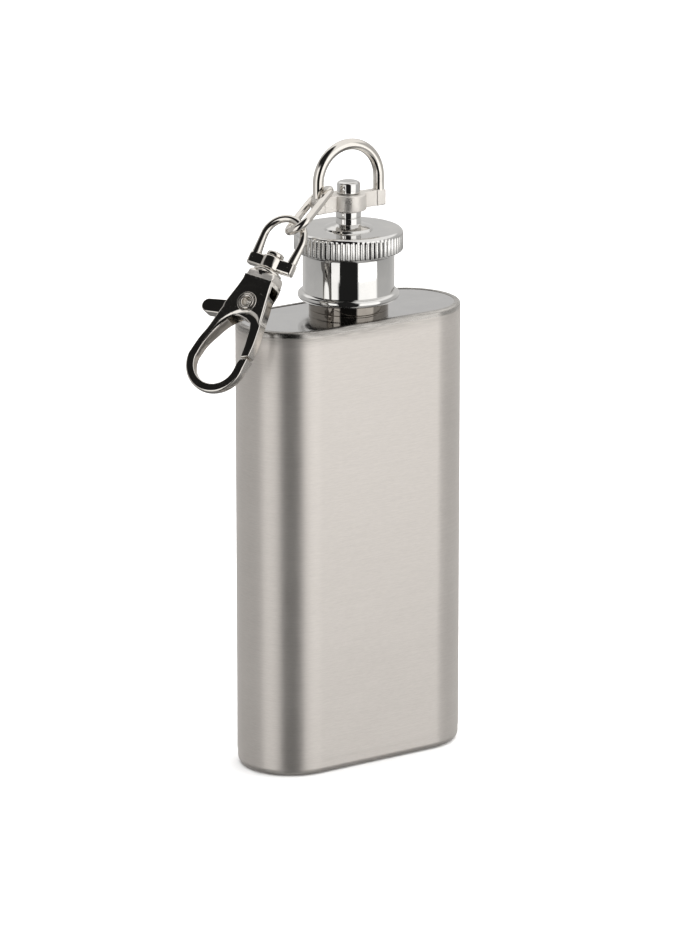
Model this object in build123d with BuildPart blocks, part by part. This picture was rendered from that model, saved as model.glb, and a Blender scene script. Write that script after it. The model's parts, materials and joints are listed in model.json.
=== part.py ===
"""Keychain hip flask: a flat stainless flask with a screw cap, swivel shackle, link and snap clasp.

Millimetres, +Z up. The origin is the centre of the base. X runs along the flask's width and the
front face looks along -Y. The clasp hangs over the -X end.
"""

import os
from math import atan2, cos, degrees, radians, sin, sqrt

from build123d import *

os.makedirs("parts", exist_ok=True)

# ---------------------------------------------------------------- driving dimensions
# flask
body_width = 45.0
body_depth = 20.0
body_height = 83.15
wall = 0.6
rim_round = 1.0
rim_inset = 1.1
recess = 0.1
base_height = 2.6
base_round = 2.5
base_inset = 0.08
base_flange = 1.2

# neck
bore_radius = 4.8
spigot_radius = 6.0
collar_radius = 7.2
collar_height = 0.6
neck_groove = 0.1
shoulder_top = 85.4
neck_top = 93.4

# thread
pitch = 2.0
male_root = 5.75
male_crest = 6.4
female_root = 6.62
female_crest = 5.97
tooth_root_width = 1.0
tooth_crest_width = 0.5
male_thread_start = 86.9
male_turns = 2.75
female_turns = 1.75
thread_bite = 0.15

# cap
bead_centre = 86.2
bead_tube = 0.75
bead_radius = 8.45
skirt_radius = 8.3
knurl_bottom = 94.4
cap_top = 98.3
knurl_radius = 9.88
knurl_round = 0.35
rib_count = 72
rib_depth = 0.24
shell_wall = 0.45
insert_gap = 0.02
insert_bottom = 87.0
roof = 94.75
seal_radius = 6.5
seal_thickness = 1.2

# swivel
shank_radius = 1.4
shank_gap = 0.02
dome_radius = 4.6
dome_height = 0.85
post_radius = 2.3
post_joint = 100.4
post_top = 101.6
button_radius = 2.1
button_top = 107.0
inner_head_radius = 2.4
inner_head_height = 0.8
washer_radius = 3.0
washer_thickness = 0.5

# shackle
boss_radius = 3.25
boss_height = 3.0
swivel_gap = 0.15
bow_half_width = 6.55
bow_wire_radius = 1.0
bow_top = 114.7
arm_depth = 1.7
foot_size = 2.0
swivel_clearance = 0.06

# link
link_wire_radius = 0.7
link_half_width = 2.5
link_high_end = (-4.46, 0.92, 105.62)
link_low_end = (1.79, -2.88, 1.06)
link_roll = 30.0

# clasp: where it hangs, and how it is turned
clasp_top = (-13.0, -1.8, 102.6)
clasp_heading = 12.0
clasp_lean = 36.0
clasp_roll = -76.0

# clasp eye
eye_radius = 3.95
eye_wire_radius = 0.7
crossbar_top = 8.5
crossbar_bottom = 10.9
crossbar_width = 9.3
crossbar_depth = 1.8
crossbar_boss_radius = 1.95
pin_radius = 1.1
pin_clearance = 0.06
pin_head_radius = 1.6
pin_head_height = 0.85
pin_length = 2.6

# clasp body
flange_top = 11.25
flange_radius = 2.6
throat_top = 11.95
throat_radius = 2.2
shoulder_start = 12.3
face_top = 13.2
top_thickness = 4.4
hook_thickness = 2.1
hook_bottom = 36.5
channel = 2.8
channel_top = 15.0
slot_top = 16.2
slot_bottom = 22.1
hook_centre = (-1.65, -29.95)
hook_outer = 5.7
hook_inner = 4.1
hook_tip_radius = 10.6
front_round = 0.45
back_round = 0.3
shoulder_blend = 0.5
shoulder_width = 5.3
shoulder_round = 1.2
slot_left = 9.0
slot_step = 2.9
press_gap = 0.01
pivot = (-0.3, -18.05)
eyelet_radius = 1.2
eyelet_bore = 0.9
eyelet_flange = 1.85
eyelet_seat = 1.84
eyelet_rise = 0.42
eyelet_roll = 0.12

# gate
gate_thickness = 2.5
gate_clearance = 0.06
gate_tip_radius = 10.3
gate_arm_right = (3.1, -26.6)
hub_radius = 2.4
tab_width = 2.6
tab_root = (-0.6, -19.05)
tab_end = (-7.65, -20.6)
spring_wire = 0.17
spring_radius = 1.52
spring_turns = 2
spring_pitch = 0.38
spring_pocket = 1.3
spring_pocket_radius = 1.85
spring_leg = 2.5
spring_gap = 0.12

# ---------------------------------------------------------------- derived places
plate_top = body_height - recess
plate_bottom = plate_top - wall
boss_bottom = post_top + swivel_gap
boss_top = boss_bottom + boss_height
bow_centre = bow_top - bow_wire_radius - bow_half_width

clasp_place = (
    Pos(*clasp_top) * Rot(Z=clasp_heading) * Rot(Y=clasp_lean) * Rot(Z=clasp_roll)
)
clasp_frame = Plane(clasp_place)
# the clasp's face: X across, Y up the clasp, Z out of its front
clasp_face = Plane(origin=clasp_top, x_dir=clasp_frame.x_dir, z_dir=-clasp_frame.y_dir)

# the link lies over the shackle's arm and through the clasp's eye; its two ends are the
# middles of its bends, the lower one given in the clasp's face
eye_centre_y = -(eye_radius + eye_wire_radius)
link_high = Vector(link_high_end)
link_low = clasp_face.from_local_coords(Vector(link_low_end))
link_along = (link_low - link_high).normalized()
link_level = link_along.cross(Vector(0, 0, 1)).normalized()
link_across = link_level.rotate(Axis((0, 0, 0), link_along), link_roll)
link_face = Plane(
    origin=(link_low + link_high) / 2, x_dir=link_along, z_dir=link_along.cross(link_across)
)
link_half_length = (link_low - link_high).length / 2
clasp_axis = Axis(clasp_top, clasp_frame.z_dir)


def finish(block, name):
    """Label one finished piece and write it to its own file."""
    block.part.label = name
    export_step(block.part, f"parts/{name}.step")


# ---------------------------------------------------------------- flask
# side wall: one drawn sleeve, rolled over at the top to a narrow rim
with BuildPart() as body_shell:
    with BuildSketch(Plane.XY.offset(base_height)):
        SlotOverall(body_width, body_depth)
    extrude(amount=body_height - base_height)
    fillet(body_shell.faces().sort_by(Axis.Z)[-1].edges(), rim_round)
    chamfer(body_shell.faces().sort_by(Axis.Z)[0].edges(), base_inset / 2)
    with BuildSketch(Plane.XY.offset(base_height)):
        SlotOverall(body_width - 2 * wall, body_depth - 2 * wall)
    extrude(amount=body_height - wall - base_height, mode=Mode.SUBTRACT)
    with BuildSketch(Plane.XY.offset(body_height - wall)):
        SlotOverall(body_width - 2 * rim_inset, body_depth - 2 * rim_inset)
    extrude(amount=wall, mode=Mode.SUBTRACT)
finish(body_shell, "body_shell")

# top plate, welded in level with the rim, with only a fine step between them
with BuildPart() as top_plate:
    with BuildSketch(Plane.XY.offset(plate_bottom)):
        SlotOverall(body_width - 2 * rim_inset, body_depth - 2 * rim_inset)
        Circle(spigot_radius, mode=Mode.SUBTRACT)
    extrude(amount=wall)
finish(top_plate, "top_plate")

# base: a pressed pan with a deep round edge, whose flange fits inside the side wall
with BuildPart() as bottom_plate:
    with BuildSketch(Plane.XY):
        SlotOverall(body_width - 2 * base_inset, body_depth - 2 * base_inset)
    extrude(amount=base_height)
    fillet(bottom_plate.faces().sort_by(Axis.Z)[0].edges(), base_round)
    with BuildSketch(Plane.XY.offset(base_height)):
        SlotOverall(body_width - 2 * wall, body_depth - 2 * wall)
    extrude(amount=base_flange)
    with BuildSketch(Plane.XY.offset(wall)):
        SlotOverall(body_width - 4 * wall, body_depth - 4 * wall)
    extrude(amount=base_height + base_flange, mode=Mode.SUBTRACT)
    inner_floor = bottom_plate.faces().filter_by(Axis.Z).group_by(Axis.Z)[1]
    fillet(inner_floor.edges(), base_round - wall)
finish(bottom_plate, "bottom_plate")

# collar ring round the foot of the neck
with BuildPart() as neck_collar:
    with BuildSketch(Plane.XY.offset(plate_top)):
        Circle(collar_radius)
        Circle(spigot_radius, mode=Mode.SUBTRACT)
    extrude(amount=collar_height)
    chamfer(neck_collar.edges().filter_by(GeomType.CIRCLE).group_by(SortBy.RADIUS)[-1], neck_groove)
finish(neck_collar, "neck_collar")


def thread(radius, crest, start, turns, bite):
    """A trapezoid tooth swept along a helix from radius to crest, sunk a little into its wall."""
    inward = 1 if crest > radius else -1
    foot = radius - inward * bite
    with BuildPart() as tooth:
        with BuildLine():
            route = Helix(pitch, turns * pitch, foot, center=(0, 0, start))
        with BuildSketch(Plane(origin=(foot, 0, start), x_dir=(1, 0, 0), z_dir=route % 0)):
            with BuildLine():
                depth = crest - foot
                Polyline(
                    (0, -tooth_root_width / 2),
                    (depth, -tooth_crest_width / 2),
                    (depth, tooth_crest_width / 2),
                    (0, tooth_root_width / 2),
                    close=True,
                )
            make_face()
        sweep(path=route, is_frenet=True)
    return tooth.part


male_thread = thread(male_root, male_crest, male_thread_start, male_turns, thread_bite)

# neck: a turned spout, flanged below the plate and threaded above it
spigot_flange = 7.5
flange_drop = 0.7
spigot_bottom = plate_bottom - 1.0
with BuildPart() as neck_spout:
    with BuildSketch(Plane.XZ):
        with BuildLine():
            Polyline(
                (bore_radius, spigot_bottom),
                (spigot_radius, spigot_bottom),
                (spigot_flange, plate_bottom - flange_drop),
                (spigot_flange, plate_bottom),
                (spigot_radius, plate_bottom),
                (spigot_radius, plate_top + collar_height),
                (collar_radius - neck_groove, plate_top + collar_height),
                (collar_radius, plate_top + collar_height + neck_groove),
                (collar_radius, shoulder_top - neck_groove),
                (collar_radius - neck_groove, shoulder_top),
                (male_root, shoulder_top),
                (male_root, neck_top - neck_groove),
                (male_root - neck_groove, neck_top),
                (bore_radius, neck_top),
                close=True,
            )
        make_face()
    revolve(axis=Axis.Z)
    add(male_thread)
finish(neck_spout, "neck_spout")

# ---------------------------------------------------------------- cap
# shell: one drawn and plated cup with a rolled bead at its mouth and a knurled grip
with BuildPart() as cap_shell:
    with BuildSketch(Plane.XZ):
        with BuildLine():
            Polyline(
                (skirt_radius - shell_wall, bead_centre),
                (skirt_radius, bead_centre),
                (skirt_radius, knurl_bottom),
                (knurl_radius, knurl_bottom),
                (knurl_radius, cap_top),
                (shank_radius + shank_gap, cap_top),
                (shank_radius + shank_gap, cap_top - shell_wall),
                (knurl_radius - shell_wall, cap_top - shell_wall),
                (knurl_radius - shell_wall, knurl_bottom + shell_wall),
                (skirt_radius - shell_wall, knurl_bottom + shell_wall),
                close=True,
            )
        make_face()
        with Locations((bead_radius, bead_centre)):
            Circle(bead_tube)
    revolve(axis=Axis.Z)
    outer_edges = cap_shell.edges().filter_by(GeomType.CIRCLE).group_by(SortBy.RADIUS)[-1]
    fillet(outer_edges, knurl_round)
    with BuildSketch(Plane.XY.offset(knurl_bottom)):
        with PolarLocations(knurl_radius, rib_count):
            Circle(rib_depth)
    extrude(amount=cap_top - knurl_bottom - knurl_round, mode=Mode.SUBTRACT)
finish(cap_shell, "cap_shell")

# moulded insert that carries the female thread
female_thread = thread(
    female_root,
    female_crest,
    male_thread_start + pitch / 2,
    female_turns,
    thread_bite,
)
insert_radius = skirt_radius - shell_wall - insert_gap
insert_flange = knurl_radius - shell_wall - insert_gap
insert_step = knurl_bottom + shell_wall + insert_gap
insert_top = cap_top - shell_wall
pocket_top = roof + inner_head_height + washer_thickness + 0.25
with BuildPart() as cap_insert:
    with BuildSketch(Plane.XZ):
        with BuildLine():
            Polyline(
                (female_root, insert_bottom),
                (insert_radius, insert_bottom),
                (insert_radius, insert_step),
                (insert_flange, insert_step),
                (insert_flange, insert_top),
                (shank_radius + shank_gap, insert_top),
                (shank_radius + shank_gap, pocket_top),
                (washer_radius + shank_gap, pocket_top),
                (washer_radius + shank_gap, roof),
                (female_root, roof),
                close=True,
            )
        make_face()
    revolve(axis=Axis.Z)
    add(female_thread)
finish(cap_insert, "cap_insert")

# soft disc that the neck's lip closes against
with BuildPart() as cap_seal:
    with BuildSketch(Plane.XY.offset(neck_top + 0.05)):
        Circle(seal_radius)
    extrude(amount=seal_thickness)
    fillet(cap_seal.edges(), 0.2)
finish(cap_seal, "cap_seal")

# backing washer between the insert and the rivet's inner head
with BuildPart() as rivet_washer:
    with BuildSketch(Plane.XY.offset(pocket_top - washer_thickness)):
        Circle(washer_radius)
        Circle(shank_radius + shank_gap, mode=Mode.SUBTRACT)
    extrude(amount=washer_thickness)
finish(rivet_washer, "rivet_washer")

# dome that stiffens the cap's top and starts the post
with BuildPart() as swivel_base:
    with BuildSketch(Plane.XZ):
        with BuildLine():
            Line((shank_radius + shank_gap, cap_top), (dome_radius, cap_top))
            ThreePointArc(
                (dome_radius, cap_top),
                (dome_radius - 0.9, cap_top + dome_height * 0.62),
                (post_radius, cap_top + dome_height),
            )
            Polyline(
                (post_radius, cap_top + dome_height),
                (post_radius, post_joint - neck_groove),
                (post_radius - neck_groove, post_joint),
                (shank_radius + shank_gap, post_joint),
                (shank_radius + shank_gap, cap_top),
            )
        make_face()
    revolve(axis=Axis.Z)
finish(swivel_base, "swivel_base")

# spacer ring that carries the shackle's boss
with BuildPart() as swivel_spacer:
    with BuildSketch(Plane.XY.offset(post_joint)):
        Circle(post_radius)
        Circle(shank_radius + shank_gap, mode=Mode.SUBTRACT)
    extrude(amount=post_top - post_joint)
    chamfer(swivel_spacer.edges().filter_by(GeomType.CIRCLE).group_by(SortBy.RADIUS)[-1], neck_groove)
finish(swivel_spacer, "swivel_spacer")

# rivet: inner head, shank and button head in one
button_bottom = boss_top + swivel_gap
inner_head_top = pocket_top - washer_thickness
with BuildPart() as swivel_rivet:
    with BuildSketch(Plane.XY.offset(inner_head_top - inner_head_height)):
        Circle(inner_head_radius)
    extrude(amount=inner_head_height)
    with BuildSketch(Plane.XY.offset(inner_head_top)):
        Circle(shank_radius)
    extrude(amount=button_bottom - inner_head_top)
    with BuildSketch(Plane.XY.offset(button_bottom)):
        Circle(button_radius)
    extrude(amount=button_top - button_bottom)
    fillet(swivel_rivet.edges().group_by(Axis.Z)[-1], 0.45)
finish(swivel_rivet, "swivel_rivet")

# ---------------------------------------------------------------- shackle
with BuildPart() as shackle:
    with BuildLine(Plane.XZ):
        bow_foot = boss_bottom + boss_height / 2
        left_leg = Line((-bow_half_width, bow_foot), (-bow_half_width, bow_centre))
        crown = ThreePointArc(
            left_leg @ 1, (0, bow_centre + bow_half_width), (bow_half_width, bow_centre)
        )
        right_leg = Line(crown @ 1, (bow_half_width, bow_foot))
    with BuildSketch(Plane.XY.offset(bow_foot)):
        with Locations((-bow_half_width, 0)):
            Circle(bow_wire_radius)
    sweep()
    with BuildSketch(Plane.XY.offset(boss_bottom)):
        with Locations((-bow_half_width, 0), (bow_half_width, 0)):
            RectangleRounded(foot_size, foot_size, 0.3)
        Rectangle(2 * bow_half_width, arm_depth)
        Circle(boss_radius)
    extrude(amount=boss_height)
    chamfer(shackle.faces().sort_by(Axis.Z)[0].outer_wire().edges(), 0.12)
    with BuildSketch(Plane.XY.offset(boss_bottom)):
        Circle(shank_radius + swivel_clearance)
    extrude(amount=boss_height, mode=Mode.SUBTRACT)
finish(shackle, "shackle")

# ---------------------------------------------------------------- link
straight = link_half_length - link_half_width
with BuildPart() as oval_link:
    with BuildLine(link_face):
        Polyline((-straight, link_half_width), (straight, link_half_width))
        JernArc((straight, link_half_width), (1, 0), link_half_width, -180)
        Polyline((straight, -link_half_width), (-straight, -link_half_width))
        JernArc((-straight, -link_half_width), (-1, 0), link_half_width, -180)
    section = link_face.location * Pos(0, link_half_width, 0)
    with BuildSketch(Plane(section.position, x_dir=link_across, z_dir=link_along)):
        Circle(link_wire_radius)
    sweep()
finish(oval_link, "oval_link")

# ---------------------------------------------------------------- clasp
def across(distance):
    """The plane square to the clasp's axis, so far down from the eye's top."""
    return clasp_frame.offset(-distance)


# eye: a bent bow cast in one with its crossbar
with BuildPart() as clasp_eye:
    with BuildLine(clasp_face):
        eye_foot = -(crossbar_top + crossbar_bottom) / 2
        eye_left = Line((-eye_radius, eye_foot), (-eye_radius, eye_centre_y))
        eye_bow = ThreePointArc(
            (-eye_radius, eye_centre_y), (0, eye_centre_y + eye_radius), (eye_radius, eye_centre_y)
        )
        eye_right = Line((eye_radius, eye_centre_y), (eye_radius, eye_foot))
    with BuildSketch(across(-eye_foot)):
        with Locations((-eye_radius, 0)):
            Circle(eye_wire_radius)
    sweep()
    with BuildSketch(across(crossbar_bottom)):
        RectangleRounded(crossbar_width, crossbar_depth, 0.5)
        Circle(crossbar_boss_radius)
    extrude(amount=crossbar_bottom - crossbar_top)
    with BuildSketch(across(crossbar_bottom)):
        Circle(pin_radius + pin_clearance)
    extrude(amount=crossbar_bottom - crossbar_top, mode=Mode.SUBTRACT)
finish(clasp_eye, "clasp_eye")

# pin that joins the eye to the hook and lets one turn in the other
pin_head_bottom = crossbar_top - swivel_gap
with BuildPart() as clasp_pin:
    with BuildSketch(across(pin_head_bottom)):
        Circle(pin_head_radius)
    extrude(amount=pin_head_height)
    fillet(clasp_pin.edges().sort_by(clasp_axis)[-1], 0.4)
    with BuildSketch(across(flange_top + pin_length)):
        Circle(pin_radius)
    extrude(amount=flange_top + pin_length - pin_head_bottom)
finish(clasp_pin, "clasp_pin")


def tip_point(x, radius):
    """The point at x on a circle about the gate's pivot, on the hook's side."""
    return (x, pivot[1] - sqrt(radius**2 - (x - pivot[0]) ** 2))


def pivot_plane(height):
    """The plane parallel to the clasp's face through the gate's pivot, so far in front."""
    return Plane(
        origin=clasp_face.from_local_coords((pivot[0], pivot[1], height)),
        x_dir=clasp_face.x_dir,
        z_dir=clasp_face.z_dir,
    )


# hook body: cheeks above, a bent hook below, swivel flange on top
tip_outer_x = 4.05
tip_inner_x = 2.95
with BuildPart() as clasp_hook:
    with BuildSketch(clasp_face.offset(-top_thickness / 2)):
        with BuildLine():
            outer_left = Spline(
                (-2.9, -face_top),
                (-4.28, -18.1),
                (-5.7, -24.0),
                (hook_centre[0] - hook_outer, hook_centre[1]),
                tangents=((-0.25, -1), (0, -1)),
            )
            outer_bow = ThreePointArc(
                outer_left @ 1,
                (hook_centre[0], hook_centre[1] - hook_outer),
                (hook_centre[0] + hook_outer, hook_centre[1]),
            )
            outer_tip = Line(outer_bow @ 1, tip_point(tip_outer_x, hook_tip_radius))
            tip_end = Line(outer_tip @ 1, tip_point(tip_inner_x, hook_tip_radius))
            inner_tip = Line(tip_end @ 1, (hook_centre[0] + hook_inner, hook_centre[1]))
            inner_bow = ThreePointArc(
                inner_tip @ 1,
                (hook_centre[0], hook_centre[1] - hook_inner),
                (hook_centre[0] - hook_inner, hook_centre[1]),
            )
            arch = Spline(
                inner_bow @ 1,
                (-4.45, -25.1),
                (-2.45, -21.8),
                (-0.66, -20.4),
                (0.9, -20.05),
                (2.54, -20.5),
                (3.87, -21.5),
                tangents=((0, 1), (1, -1)),
            )
            outer_right = Line(arch @ 1, (2.7, -face_top))
            Line(outer_right @ 1, outer_left @ 0)
        make_face()
    extrude(amount=top_thickness)
    with BuildSketch(Plane(clasp_top, x_dir=clasp_face.z_dir, z_dir=-clasp_face.x_dir)):
        with BuildLine():
            Polyline(
                (-top_thickness / 2, -face_top),
                (-hook_thickness / 2, -hook_bottom),
                (hook_thickness / 2, -hook_bottom),
                (top_thickness / 2, -face_top),
                close=True,
            )
        make_face()
    extrude(amount=hook_bottom, both=True, mode=Mode.INTERSECT)
    back_face, front_face = clasp_hook.faces().filter_by(
        lambda face: abs(face.normal_at().dot(clasp_face.z_dir)) > 0.9
    ).sort_by(Axis(clasp_top, clasp_face.z_dir))
    fillet(front_face.edges(), front_round)
    back_face = clasp_hook.faces().sort_by(Axis(clasp_top, clasp_face.z_dir))[0]
    fillet(back_face.edges(), back_round)
    with BuildSketch(across(face_top + shoulder_blend)):
        RectangleRounded(shoulder_width, top_thickness - 0.1, shoulder_round)
    extrude(amount=face_top + shoulder_blend - shoulder_start)
    with BuildSketch(across(shoulder_start)):
        Circle(throat_radius)
    extrude(amount=shoulder_start - throat_top)
    with BuildSketch(across(throat_top)):
        Circle(flange_radius)
    extrude(amount=throat_top - flange_top)
    with BuildSketch(across(flange_top + pin_length)):
        Circle(pin_radius + press_gap)
    extrude(amount=pin_length, mode=Mode.SUBTRACT)
    with BuildSketch(clasp_face.offset(-channel / 2)):
        with BuildLine():
            Polyline(
                (-slot_left, -slot_top),
                (-slot_step, -slot_top),
                (-slot_step, -channel_top),
                (slot_left, -channel_top),
                (slot_left, -slot_bottom),
                (-slot_left, -slot_bottom),
                close=True,
            )
        make_face()
    extrude(amount=channel, mode=Mode.SUBTRACT)
    with BuildSketch(pivot_plane(-top_thickness)):
        Circle(eyelet_radius + press_gap)
    extrude(amount=2 * top_thickness, mode=Mode.SUBTRACT)
    with BuildSketch(pivot_plane(eyelet_seat)):
        Circle(eyelet_flange + press_gap)
    extrude(amount=top_thickness, mode=Mode.SUBTRACT)
    with BuildSketch(pivot_plane(-eyelet_seat)):
        Circle(eyelet_flange + press_gap)
    extrude(amount=-top_thickness, mode=Mode.SUBTRACT)
finish(clasp_hook, "clasp_hook")

# eyelet: a tubular rivet through both cheeks, rolled over on each side, that the gate turns on
eyelet_half = eyelet_seat + eyelet_rise
pivot_place = pivot_plane(0)
with BuildPart() as clasp_eyelet:
    with BuildSketch(Plane(pivot_place.origin, x_dir=pivot_place.x_dir, z_dir=-pivot_place.y_dir)):
        with BuildLine():
            Polyline(
                (eyelet_bore, -eyelet_half + eyelet_roll),
                (eyelet_bore + eyelet_roll, -eyelet_half),
                (eyelet_flange - 2 * eyelet_roll, -eyelet_half),
                (eyelet_flange, -eyelet_half + 2 * eyelet_roll),
                (eyelet_flange, -eyelet_seat),
                (eyelet_radius, -eyelet_seat),
                (eyelet_radius, eyelet_seat),
                (eyelet_flange, eyelet_seat),
                (eyelet_flange, eyelet_half - 2 * eyelet_roll),
                (eyelet_flange - 2 * eyelet_roll, eyelet_half),
                (eyelet_bore + eyelet_roll, eyelet_half),
                (eyelet_bore, eyelet_half - eyelet_roll),
                close=True,
            )
        make_face()
    revolve(axis=Axis(pivot_place.origin, pivot_place.z_dir))
finish(clasp_eyelet, "clasp_eyelet")

# gate: hub on the eyelet, arm down to the hook's tip, thumb tab out to the left
gate_direction = atan2(gate_arm_right[1] - pivot[1], gate_arm_right[0] - pivot[0])
spring_end = degrees(gate_direction) - 90
spring_sweep = 360 * spring_turns + (spring_end + 360) % 360 - 180
leg_slot = 2 * (spring_wire + spring_gap)
with BuildPart() as gate_lever:
    with BuildSketch(clasp_face.offset(-gate_thickness / 2)):
        with Locations(pivot):
            Circle(hub_radius)
        with BuildLine():
            right_top = (pivot[0] + hub_radius * cos(radians(20)), pivot[1] + hub_radius * sin(radians(20)))
            gate_right = Polyline(right_top, (2.75, -21.3), tip_point(3.45, gate_tip_radius))
            gate_end = ThreePointArc(
                gate_right @ 1,
                tip_point(3.0, gate_tip_radius),
                tip_point(2.55, gate_tip_radius),
            )
            gate_left = Polyline(gate_end @ 1, (1.2, -21.5), (-1.2, -20.2), pivot, right_top)
        make_face()
        with BuildLine():
            tab_along = Vector(tab_end[0] - tab_root[0], tab_end[1] - tab_root[1]).normalized()
            tab_side = Vector(-tab_along.Y, tab_along.X) * tab_width / 2
            root = Vector(*tab_root)
            end = Vector(*tab_end)
            upper = Line(root - tab_side, end - tab_side)
            round_end = ThreePointArc(upper @ 1, end + tab_along * tab_width / 2, end + tab_side)
            Polyline(round_end @ 1, root + tab_side, upper @ 0)
        make_face()
    extrude(amount=gate_thickness)
    with BuildSketch(pivot_plane(-gate_thickness / 2)):
        Circle(spring_pocket_radius)
        with Locations((-spring_radius, spring_leg / 2)):
            Rectangle(leg_slot, spring_leg)
        with Locations(Rotation(0, 0, spring_end)):
            with Locations((spring_radius, spring_leg / 2)):
                Rectangle(leg_slot, spring_leg)
    extrude(amount=spring_pocket, mode=Mode.SUBTRACT)
    with BuildSketch(pivot_plane(-gate_thickness)):
        Circle(eyelet_radius + gate_clearance)
    extrude(amount=2 * gate_thickness, mode=Mode.SUBTRACT)
finish(gate_lever, "gate_lever")

# torsion spring in the hub's pocket: one leg stands against the body, the other against the arm
spring_floor = -gate_thickness / 2 + spring_wire + spring_gap / 2
spring_rise = spring_pitch * spring_sweep / 360
coil_place = pivot_plane(spring_floor).location * Rot(Z=180)
with BuildPart() as gate_spring:
    with BuildLine():
        coil = Helix(spring_pitch, spring_rise, spring_radius)
    coil_start = Plane(origin=coil @ 0, z_dir=coil % 0)
    coil_end = Plane(origin=coil @ 1, z_dir=coil % 1)
    with BuildSketch(coil_start):
        Circle(spring_wire)
    sweep(path=coil, is_frenet=True)
    with BuildSketch(coil_start):
        Circle(spring_wire)
    extrude(amount=-spring_leg)
    with BuildSketch(coil_end):
        Circle(spring_wire)
    extrude(amount=spring_leg)
gate_spring.part = coil_place * gate_spring.part
finish(gate_spring, "gate_spring")
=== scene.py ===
"""Keychain hip flask with a screw cap, swivel shackle, oval link and snap clasp. Blender 4.5, metres.

Shapes are written in millimetres in the part's own frame and scaled once, when a mesh is made.
"""

import json

import bmesh
import bpy
from math import acos, atan2, cos, degrees, hypot, pi, radians, sin, sqrt, tan
from mathutils import Matrix, Vector
from mathutils.geometry import tessellate_polygon


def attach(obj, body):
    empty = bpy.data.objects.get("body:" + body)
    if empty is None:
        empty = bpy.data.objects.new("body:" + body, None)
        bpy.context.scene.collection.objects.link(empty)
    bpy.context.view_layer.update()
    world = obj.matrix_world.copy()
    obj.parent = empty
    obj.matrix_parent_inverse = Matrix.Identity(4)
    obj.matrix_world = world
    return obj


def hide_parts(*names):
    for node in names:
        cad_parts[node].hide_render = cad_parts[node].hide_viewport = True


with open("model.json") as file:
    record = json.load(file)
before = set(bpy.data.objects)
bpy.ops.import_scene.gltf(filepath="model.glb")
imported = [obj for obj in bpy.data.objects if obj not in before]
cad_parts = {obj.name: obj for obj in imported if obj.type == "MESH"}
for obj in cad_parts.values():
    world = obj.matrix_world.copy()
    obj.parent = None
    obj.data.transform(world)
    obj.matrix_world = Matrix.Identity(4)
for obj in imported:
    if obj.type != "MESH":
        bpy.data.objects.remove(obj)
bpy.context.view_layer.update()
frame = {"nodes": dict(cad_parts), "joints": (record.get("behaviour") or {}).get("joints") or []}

MM = 0.001
joints = {j["name"]: j for j in frame["joints"]}

# ---------------------------------------------------------------- frames


class Axes:
    """A local frame: origin in millimetres and three unit axes."""

    def __init__(self, origin, x, z):
        self.origin = Vector(origin)
        self.z = Vector(z).normalized()
        self.x = (Vector(x) - self.z * Vector(x).dot(self.z)).normalized()
        self.y = self.z.cross(self.x)

    def at(self, x, y, z):
        """The point with these coordinates in the frame."""
        return self.origin + self.x * x + self.y * y + self.z * z


upright = Axes((0, 0, 0), (1, 0, 0), (0, 0, 1))

# the clasp's frame comes from its two joints: X across, Y up the clasp, Z out of its front
clasp_up = Vector(joints["clasp_swivel"]["axis"])
clasp_out = -Vector(joints["gate_pivot"]["axis"])
clasp_top = Vector(joints["clasp_swivel"]["pos_m"]) / MM + 10.0 * clasp_up
face = Axes(clasp_top, clasp_up.cross(clasp_out), clasp_out)
# turned shapes of the clasp stand on its own axis, with Z up the clasp
stem = Axes(clasp_top, face.x, clasp_up)
pivot_pos = Vector(joints["gate_pivot"]["pos_m"]) / MM
pivot_xy = ((pivot_pos - clasp_top).dot(face.x), (pivot_pos - clasp_top).dot(face.y))
pivot = Axes(face.at(pivot_xy[0], pivot_xy[1], 0), face.x, face.z)

# ---------------------------------------------------------------- materials


def new_material(name):
    """A material, its node tree and its main shader."""
    mat = bpy.data.materials.new(name)
    mat.use_nodes = True
    nodes = mat.node_tree.nodes
    shader = nodes["Principled BSDF"] if "Principled BSDF" in nodes else None
    if shader is None:
        nodes.clear()
        shader = nodes.new("ShaderNodeBsdfPrincipled")
        out = nodes.new("ShaderNodeOutputMaterial")
        mat.node_tree.links.new(shader.outputs[0], out.inputs[0])
    return mat, mat.node_tree, shader


def link(tree, a, b):
    """Joins an output socket to an input socket."""
    tree.links.new(a, b)


def noise(tree, coords, scale, stretch=(1, 1, 1), turn=(0, 0, 0), detail=4.0, rough=0.55):
    """Noise on object coordinates, stretched and turned."""
    mapping = tree.nodes.new("ShaderNodeMapping")
    mapping.inputs["Scale"].default_value = stretch
    mapping.inputs["Rotation"].default_value = turn
    link(tree, coords, mapping.inputs["Vector"])
    tex = tree.nodes.new("ShaderNodeTexNoise")
    tex.inputs["Scale"].default_value = scale
    tex.inputs["Detail"].default_value = detail
    tex.inputs["Roughness"].default_value = rough
    link(tree, mapping.outputs["Vector"], tex.inputs["Vector"])
    return tex.outputs["Fac"]


def remap(tree, value, lo, hi, out_lo, out_hi):
    """The value carried from one range to another, clamped at both ends."""
    node = tree.nodes.new("ShaderNodeMapRange")
    node.inputs["From Min"].default_value = lo
    node.inputs["From Max"].default_value = hi
    node.inputs["To Min"].default_value = out_lo
    node.inputs["To Max"].default_value = out_hi
    link(tree, value, node.inputs["Value"])
    return node.outputs["Result"]


def math_node(tree, operation, a, b=None):
    """A Math node's result for sockets or numbers."""
    node = tree.nodes.new("ShaderNodeMath")
    node.operation = operation
    for socket, value in zip(node.inputs, (a, b)):
        if value is None:
            continue
        if isinstance(value, (int, float)):
            socket.default_value = value
        else:
            link(tree, value, socket)
    return node.outputs[0]


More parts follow.
